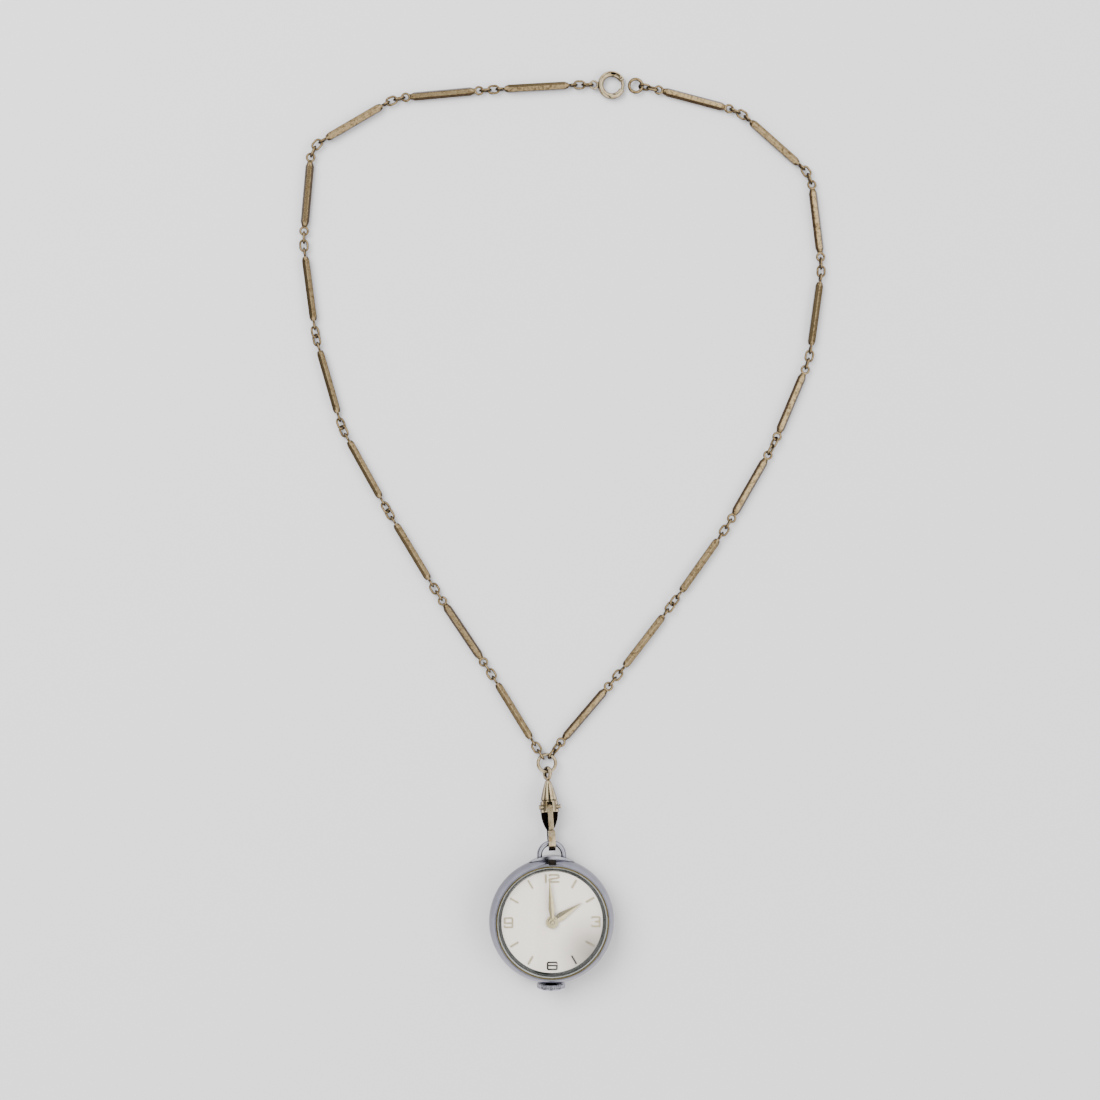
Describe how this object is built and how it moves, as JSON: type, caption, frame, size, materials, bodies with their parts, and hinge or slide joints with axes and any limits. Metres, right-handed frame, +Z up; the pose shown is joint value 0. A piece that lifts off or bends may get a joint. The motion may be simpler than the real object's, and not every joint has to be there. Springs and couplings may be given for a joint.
{
  "type": "pendant watch",
  "caption": "Round pendant watch with a bun-shaped case, domed crystal and crown at six o'clock, hung by a swivel clasp from a chain of faceted bars and small links.",
  "frame": {"origin": "centre of the flat of the case back", "axes": "+Z up out of the dial, +Y to twelve o'clock and along the chain, +X to three o'clock"},
  "size_m": [0.1161, 0.2012, 0.0104],
  "materials": {
    "case_chrome": "polished",
    "rolled_gold": "worn rolled gold",
    "gilt": "polished gilt",
    "crystal": "clear",
    "dial_silver": "silvered sunburst",
    "movement_brass": "satin gilt",
    "movement_nickel": "striped nickel plating",
    "steel": "polished",
    "blued_steel": "blued"
  },
  "bodies": {
    "watch_case": {"case_middle": "case_chrome", "case_back": "case_chrome", "bow": "case_chrome", "crystal": "crystal", "crystal_ring": "gilt", "dial": "dial_silver", "dial_markers": "gilt", "casing_ring": "movement_nickel", "mainplate": "movement_nickel", "barrel_bridge": "movement_nickel", "train_bridge": "movement_nickel", "balance_cock": "movement_nickel", "bridge_screws": "steel"},
    "stem_slide": {"setting_lever": "steel"},
    "crown": {"crown": "case_chrome", "winding_stem": "steel", "sliding_pinion": "steel"},
    "winding_pinion": {"winding_pinion": "steel"},
    "crown_wheel": {"crown_wheel": "steel"},
    "ratchet_wheel": {"ratchet_wheel": "steel"},
    "click": {"click": "steel"},
    "minute_hand": {"minute_hand": "gilt", "cannon_pinion": "steel"},
    "minute_wheel": {"minute_wheel": "movement_brass"},
    "hour_hand": {"hour_hand": "gilt", "hour_wheel": "movement_brass"},
    "barrel": {"barrel": "movement_brass", "mainspring": "steel"},
    "centre_wheel": {"centre_wheel": "movement_brass"},
    "third_wheel": {"third_wheel": "movement_brass"},
    "fourth_wheel": {"fourth_wheel": "movement_brass"},
    "escape_wheel": {"escape_wheel": "steel"},
    "pallet_fork": {"pallet_fork": "steel"},
    "balance": {"balance_wheel": "movement_brass", "hairspring": "blued_steel"},
    "clasp": {"clasp_body": "rolled_gold", "clasp_gate_pin": "rolled_gold"},
    "clasp_gate": {"clasp_gate": "rolled_gold"},
    "swivel_eye": {"clasp_swivel_eye": "rolled_gold"},
    "join_ring": {"join_ring": "rolled_gold"},
    "nape_trigger": {"nape_trigger": "rolled_gold"},
    "chain_left_1": {"chain_left_1": "rolled_gold"},
    "chain_left_2": {"chain_left_2": "rolled_gold"},
    "chain_left_3": {"chain_left_3": "rolled_gold"},
    "chain_left_4": {"chain_left_4": "rolled_gold"},
    "chain_left_5": {"chain_left_5": "rolled_gold"},
    "chain_left_6": {"chain_left_6": "rolled_gold"},
    "chain_left_7": {"chain_left_7": "rolled_gold"},
    "chain_left_8": {"chain_left_8": "rolled_gold"},
    "chain_left_9": {"chain_left_9": "rolled_gold", "nape_spring_ring": "rolled_gold"},
    "chain_right_1": {"chain_right_1": "rolled_gold"},
    "chain_right_2": {"chain_right_2": "rolled_gold"},
    "chain_right_3": {"chain_right_3": "rolled_gold"},
    "chain_right_4": {"chain_right_4": "rolled_gold"},
    "chain_right_5": {"chain_right_5": "rolled_gold"},
    "chain_right_6": {"chain_right_6": "rolled_gold"},
    "chain_right_7": {"chain_right_7": "rolled_gold"},
    "chain_right_8": {"chain_right_8": "rolled_gold"},
    "chain_right_9": {"chain_right_9": "rolled_gold"}
  },
  "joints": [
    {"name": "crown_pull", "type": "slide", "parent": "watch_case", "child": "stem_slide", "axis": [0, -1, 0], "range_m": [0, 0.0008]},
    {"name": "crown_turn", "type": "hinge", "parent": "stem_slide", "child": "crown", "pos_m": [0, -0.015, 0.00355], "axis": [0, -1, 0], "continuous": true},
    {"name": "winding_pinion_turn", "type": "hinge", "parent": "watch_case", "child": "winding_pinion", "pos_m": [0, -0.0065, 0.00355], "axis": [0, -1, 0], "continuous": true},
    {"name": "crown_wheel_turn", "type": "hinge", "parent": "watch_case", "child": "crown_wheel", "pos_m": [0, -0.00423, 0.00125], "axis": [0, 0, 1], "continuous": true},
    {"name": "ratchet_wheel_turn", "type": "hinge", "parent": "watch_case", "child": "ratchet_wheel", "pos_m": [-0.00457, -0.00213, 0.00125], "axis": [0, 0, 1], "continuous": true},
    {"name": "click_lift", "type": "hinge", "parent": "watch_case", "child": "click", "pos_m": [-0.00659, 0.00136, 0.00125], "axis": [0, 0, 1], "range_deg": [0, 12], "stiffness_Nm_per_rad": 0.00001, "springref_deg": -5.73},
    {"name": "hand_set", "type": "hinge", "parent": "watch_case", "child": "minute_hand", "pos_m": [0, 0, 0.007], "axis": [0, 0, -1], "continuous": true},
    {"name": "minute_wheel_turn", "type": "hinge", "parent": "watch_case", "child": "minute_wheel", "pos_m": [0.00124, -0.00341, 0.0055], "axis": [0, 0, -1], "continuous": true},
    {"name": "hour_hand_turn", "type": "hinge", "parent": "watch_case", "child": "hour_hand", "pos_m": [0, 0, 0.0068], "axis": [0, 0, -1], "continuous": true},
    {"name": "train_run", "type": "hinge", "parent": "watch_case", "child": "fourth_wheel", "pos_m": [0.00533, 0.00212, 0.0034], "axis": [0, 0, 1], "continuous": true},
    {"name": "third_wheel_turn", "type": "hinge", "parent": "watch_case", "child": "third_wheel", "pos_m": [0.00438, -0.00117, 0.003], "axis": [0, 0, 1], "continuous": true},
    {"name": "centre_wheel_turn", "type": "hinge", "parent": "watch_case", "child": "centre_wheel", "pos_m": [0, 0, 0.0039], "axis": [0, 0, 1], "continuous": true},
    {"name": "barrel_turn", "type": "hinge", "parent": "watch_case", "child": "barrel", "pos_m": [-0.00457, -0.00213, 0.003], "axis": [0, 0, 1], "continuous": true},
    {"name": "escape_wheel_turn", "type": "hinge", "parent": "watch_case", "child": "escape_wheel", "pos_m": [0.00304, 0.00405, 0.003], "axis": [0, 0, 1], "continuous": true},
    {"name": "balance_swing", "type": "hinge", "parent": "watch_case", "child": "balance", "pos_m": [-0.0027, 0.0056, 0.0034], "axis": [0, 0, 1], "range_deg": [-270, 270], "stiffness_Nm_per_rad": 0.0000001, "deforming": ["hairspring"]},
    {"name": "pallet_fork_rock", "type": "hinge", "parent": "watch_case", "child": "pallet_fork", "pos_m": [0.00072, 0.00468, 0.00285], "axis": [0, 0, 1], "range_deg": [-5, 5]},
    {"name": "bow_swing", "type": "hinge", "parent": "watch_case", "child": "clasp", "pos_m": [0, 0.01692, 0.0049], "axis": [1, 0, 0], "range_deg": [0, 75]},
    {"name": "gate_open", "type": "hinge", "parent": "clasp", "child": "clasp_gate", "pos_m": [-0.00037, 0.02474, 0.00452], "axis": [0.9989, 0.0471, 0], "range_deg": [0, 24], "stiffness_Nm_per_rad": 0.002, "springref_deg": -5.73},
    {"name": "swivel_turn", "type": "hinge", "parent": "clasp", "child": "swivel_eye", "pos_m": [0, 0.01692, 0.0049], "axis": [-0.0462, 0.9799, -0.1942], "continuous": true},
    {"name": "ring_swing", "type": "hinge", "parent": "swivel_eye", "child": "join_ring", "pos_m": [-0.00071, 0.03208, 0.0019], "axis": [0.9989, 0.0471, 0], "range_deg": [0, 30]},
    {"name": "chain_left_1_bend", "type": "hinge", "parent": "join_ring", "child": "chain_left_1", "pos_m": [-0.0019, 0.03549, 0.0011], "axis": [0, 0, 1], "range_deg": [0, 20]},
    {"name": "chain_left_2_bend", "type": "hinge", "parent": "chain_left_1", "child": "chain_left_2", "pos_m": [-0.01264, 0.053, 0.0011], "axis": [0, 0, 1], "range_deg": [0, 20]},
    {"name": "chain_left_3_bend", "type": "hinge", "parent": "chain_left_2", "child": "chain_left_3", "pos_m": [-0.02365, 0.06956, 0.0011], "axis": [0, 0, 1], "range_deg": [0, 20]},
    {"name": "chain_left_4_bend", "type": "hinge", "parent": "chain_left_3", "child": "chain_left_4", "pos_m": [-0.03482, 0.08796, 0.0011], "axis": [0, 0, 1], "range_deg": [0, 20]},
    {"name": "chain_left_5_bend", "type": "hinge", "parent": "chain_left_4", "child": "chain_left_5", "pos_m": [-0.0449, 0.10605, 0.0011], "axis": [0, 0, 1], "range_deg": [0, 20]},
    {"name": "chain_left_6_bend", "type": "hinge", "parent": "chain_left_5", "child": "chain_left_6", "pos_m": [-0.05088, 0.12587, 0.0011], "axis": [0, 0, 1], "range_deg": [0, 20]},
    {"name": "chain_left_7_bend", "type": "hinge", "parent": "chain_left_6", "child": "chain_left_7", "pos_m": [-0.05376, 0.14637, 0.0011], "axis": [0, 0, 1], "range_deg": [0, 20]},
    {"name": "chain_left_8_bend", "type": "hinge", "parent": "chain_left_7", "child": "chain_left_8", "pos_m": [-0.05236, 0.1662, 0.0011], "axis": [0, 0, 1], "range_deg": [0, 20]},
    {"name": "chain_left_9_bend", "type": "hinge", "parent": "chain_left_8", "child": "chain_left_9", "pos_m": [-0.03531, 0.17857, 0.0011], "axis": [0, 0, 1], "range_deg": [0, 20]},
    {"name": "chain_right_1_bend", "type": "hinge", "parent": "join_ring", "child": "chain_right_1", "pos_m": [0.00014, 0.03559, 0.0011], "axis": [0, 0, -1], "range_deg": [0, 20]},
    {"name": "chain_right_2_bend", "type": "hinge", "parent": "chain_right_1", "child": "chain_right_2", "pos_m": [0.0128, 0.05069, 0.0011], "axis": [0, 0, -1], "range_deg": [0, 20]},
    {"name": "chain_right_3_bend", "type": "hinge", "parent": "chain_right_2", "child": "chain_right_3", "pos_m": [0.02605, 0.06766, 0.0011], "axis": [0, 0, -1], "range_deg": [0, 20]},
    {"name": "chain_right_4_bend", "type": "hinge", "parent": "chain_right_3", "child": "chain_right_4", "pos_m": [0.03812, 0.08449, 0.0011], "axis": [0, 0, -1], "range_deg": [0, 20]},
    {"name": "chain_right_5_bend", "type": "hinge", "parent": "chain_right_4", "child": "chain_right_5", "pos_m": [0.04819, 0.10165, 0.0011], "axis": [0, 0, -1], "range_deg": [0, 20]},
    {"name": "chain_right_6_bend", "type": "hinge", "parent": "chain_right_5", "child": "chain_right_6", "pos_m": [0.05653, 0.12059, 0.0011], "axis": [0, 0, -1], "range_deg": [0, 20]},
    {"name": "chain_right_7_bend", "type": "hinge", "parent": "chain_right_6", "child": "chain_right_7", "pos_m": [0.06005, 0.14179, 0.0011], "axis": [0, 0, -1], "range_deg": [0, 20]},
    {"name": "chain_right_8_bend", "type": "hinge", "parent": "chain_right_7", "child": "chain_right_8", "pos_m": [0.05802, 0.16156, 0.0011], "axis": [0, 0, -1], "range_deg": [0, 20]},
    {"name": "chain_right_9_bend", "type": "hinge", "parent": "chain_right_8", "child": "chain_right_9", "pos_m": [0.04298, 0.17656, 0.0011], "axis": [0, 0, -1], "range_deg": [0, 20]},
    {"name": "nape_trigger_pull", "type": "hinge", "parent": "chain_left_9", "child": "nape_trigger", "pos_m": [0.01352, 0.18297, 0.0011], "axis": [0, 0, 1], "range_deg": [0, 45], "stiffness_Nm_per_rad": 0.0005, "springref_deg": -5.73}
  ],
  "couplings": [
    {"joint": "winding_pinion_turn", "follows": "crown_turn", "ratio": 1},
    {"joint": "crown_wheel_turn", "follows": "crown_turn", "ratio": 0.74074},
    {"joint": "ratchet_wheel_turn", "follows": "crown_turn", "ratio": -0.45455},
    {"joint": "minute_wheel_turn", "follows": "hand_set", "ratio": -0.33333},
    {"joint": "hour_hand_turn", "follows": "hand_set", "ratio": 0.083333},
    {"joint": "third_wheel_turn", "follows": "train_run", "ratio": -0.13333},
    {"joint": "centre_wheel_turn", "follows": "train_run", "ratio": 0.016667},
    {"joint": "barrel_turn", "follows": "train_run", "ratio": -0.0027778},
    {"joint": "escape_wheel_turn", "follows": "train_run", "ratio": -10},
    {"joint": "pallet_fork_rock", "follows": "balance_swing", "ratio": 0.018519}
  ]
}
